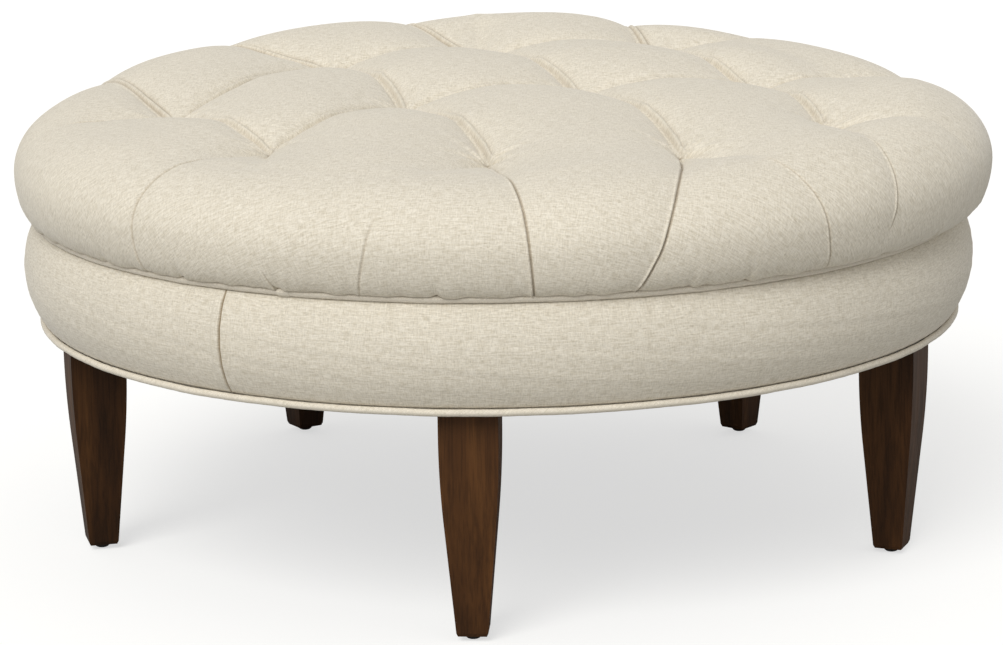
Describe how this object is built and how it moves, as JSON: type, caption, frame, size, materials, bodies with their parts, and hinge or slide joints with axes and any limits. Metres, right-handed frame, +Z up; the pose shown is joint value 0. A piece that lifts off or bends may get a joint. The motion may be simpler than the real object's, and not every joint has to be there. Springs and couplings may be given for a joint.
{
  "type": "ottoman coffee table",
  "caption": "Round upholstered ottoman coffee table: blind-tufted overhanging cushion top, welted padded band and square tapered wooden legs on domed glides",
  "frame": {"origin": "on the floor under the middle of the table", "axes": "+Z is up; the front leg stands on the -Y side, +X is to the right of it"},
  "size_m": [1.029, 1.0211, 0.4913],
  "materials": {
    "tufted_linen": "oatmeal linen-look weave with fine slub flecks, tufted over loose fibre",
    "linen_cloth": "oatmeal linen-look weave with fine slub flecks",
    "welt_cloth": "the same cloth cut on the bias over a cord",
    "welt_cord": "twisted cotton filler cord",
    "wadding": "bonded polyester fibre",
    "foam": "cut polyurethane foam",
    "fibreboard": "bent hard fibreboard",
    "dust_cloth": "black non-woven dust cover cloth",
    "twine": "waxed tufting twine",
    "plywood": "sanded birch plywood, bare",
    "frame_timber": "planed softwood, bare",
    "leg_wood": "dark espresso stain under satin lacquer",
    "zinc_steel": "zinc plated",
    "washer_plastic": "moulded natural plastic",
    "glide_plastic": "dark moulded plastic dome"
  },
  "bodies": {
    "root": {"band_cover": "linen_cloth", "band_padding": "wadding", "base_top_board": "plywood", "block_screws": "zinc_steel", "bottom_board": "plywood", "cover_staples": "zinc_steel", "deck_bolts": "zinc_steel", "deck_tee_nuts": "zinc_steel", "dust_cover": "dust_cloth", "dust_cover_staples": "zinc_steel", "foam_core": "foam", "glide_nails": "zinc_steel", "hanger_bolts": "zinc_steel", "leg_1": "leg_wood", "leg_2": "leg_wood", "leg_3": "leg_wood", "leg_4": "leg_wood", "leg_5": "leg_wood", "leg_block_1": "frame_timber", "leg_block_2": "frame_timber", "leg_block_3": "frame_timber", "leg_block_4": "frame_timber", "leg_block_5": "frame_timber", "leg_glide_1": "glide_plastic", "leg_glide_2": "glide_plastic", "leg_glide_3": "glide_plastic", "leg_glide_4": "glide_plastic", "leg_glide_5": "glide_plastic", "leg_tee_nuts": "zinc_steel", "lower_welt": "welt_cloth", "lower_welt_cord": "welt_cord", "post_01": "frame_timber", "post_02": "frame_timber", "post_03": "frame_timber", "post_04": "frame_timber", "post_05": "frame_timber", "post_06": "frame_timber", "post_07": "frame_timber", "post_08": "frame_timber", "post_09": "frame_timber", "post_10": "frame_timber", "post_screws": "zinc_steel", "side_panel": "fibreboard", "side_panel_nails": "zinc_steel", "top_deck": "plywood", "top_wadding": "wadding", "tuft_twines": "twine", "tuft_washers": "washer_plastic", "tufted_cover": "tufted_linen", "upper_tack_strip": "fibreboard", "upper_welt": "welt_cloth", "upper_welt_cord": "welt_cord"}
  },
  "joints": []
}
